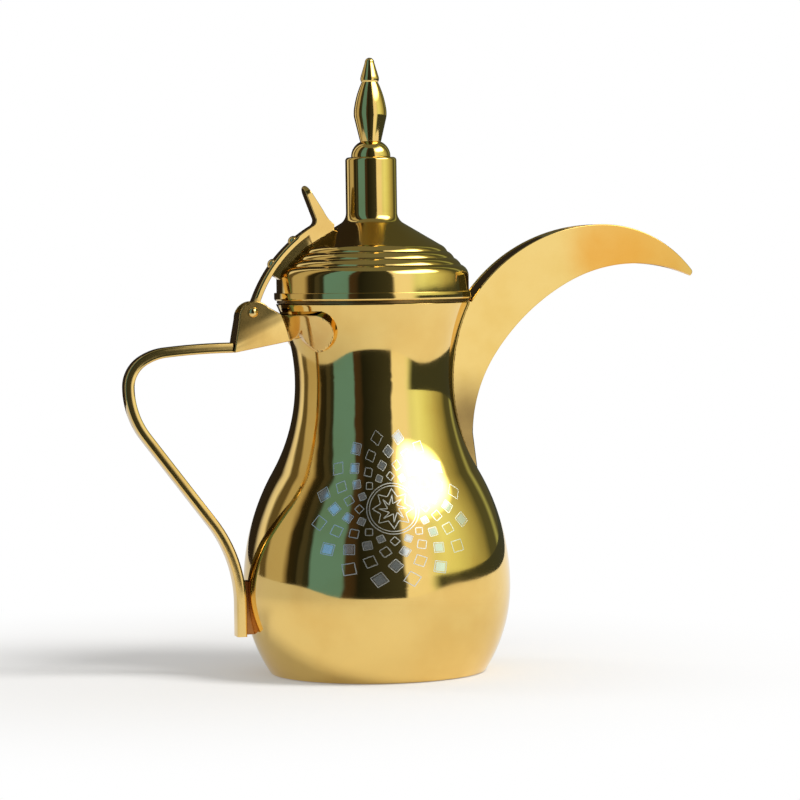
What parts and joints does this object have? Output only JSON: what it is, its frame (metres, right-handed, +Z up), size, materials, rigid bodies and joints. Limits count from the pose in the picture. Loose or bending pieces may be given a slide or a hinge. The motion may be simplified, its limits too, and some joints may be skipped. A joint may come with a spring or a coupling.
{
  "type": "coffee pot",
  "caption": "Pear-shaped metal coffee pot with a curved beak spout, a bar handle and a domed lid hinged above the handle with a thumb lever and a tall finial.",
  "frame": {"origin": "centre of the flat underside of the base", "axes": "+Z up, +X towards the spout, the handle and hinge towards -X, +Y to the left of the spout"},
  "size_m": [0.2896, 0.1308, 0.3],
  "materials": {
    "polished_gold": "mirror polished gold plate on spun and sheet brass",
    "cast_gold": "polished gold plate on cast brass",
    "plain_brass": "plain turned brass"
  },
  "bodies": {
    "pot": {"vessel_belly": "polished_gold", "vessel_neck": "polished_gold", "base_plate": "polished_gold", "spout_cheek_right": "polished_gold", "spout_cheek_left": "polished_gold", "spout_keel": "polished_gold", "spout_cover": "polished_gold", "neck_saddle": "cast_gold", "hinge_bracket": "cast_gold", "handle_bar": "cast_gold", "handle_foot": "cast_gold", "hinge_pin": "cast_gold"},
    "lid": {"lid_dome": "polished_gold", "lid_lip": "polished_gold", "lid_plug": "polished_gold", "lid_chimney": "polished_gold", "finial_cup": "polished_gold", "finial_baluster": "polished_gold", "finial_tip": "polished_gold", "finial_rod": "plain_brass", "finial_washer": "plain_brass", "finial_nut": "plain_brass", "lid_lever": "cast_gold", "lever_rivets": "cast_gold"}
  },
  "joints": [
    {"name": "lid_hinge", "type": "hinge", "parent": "pot", "child": "lid", "pos_m": [-0.0615, 0, 0.1772], "axis": [0, -1, 0], "range_deg": [0, 100]}
  ]
}
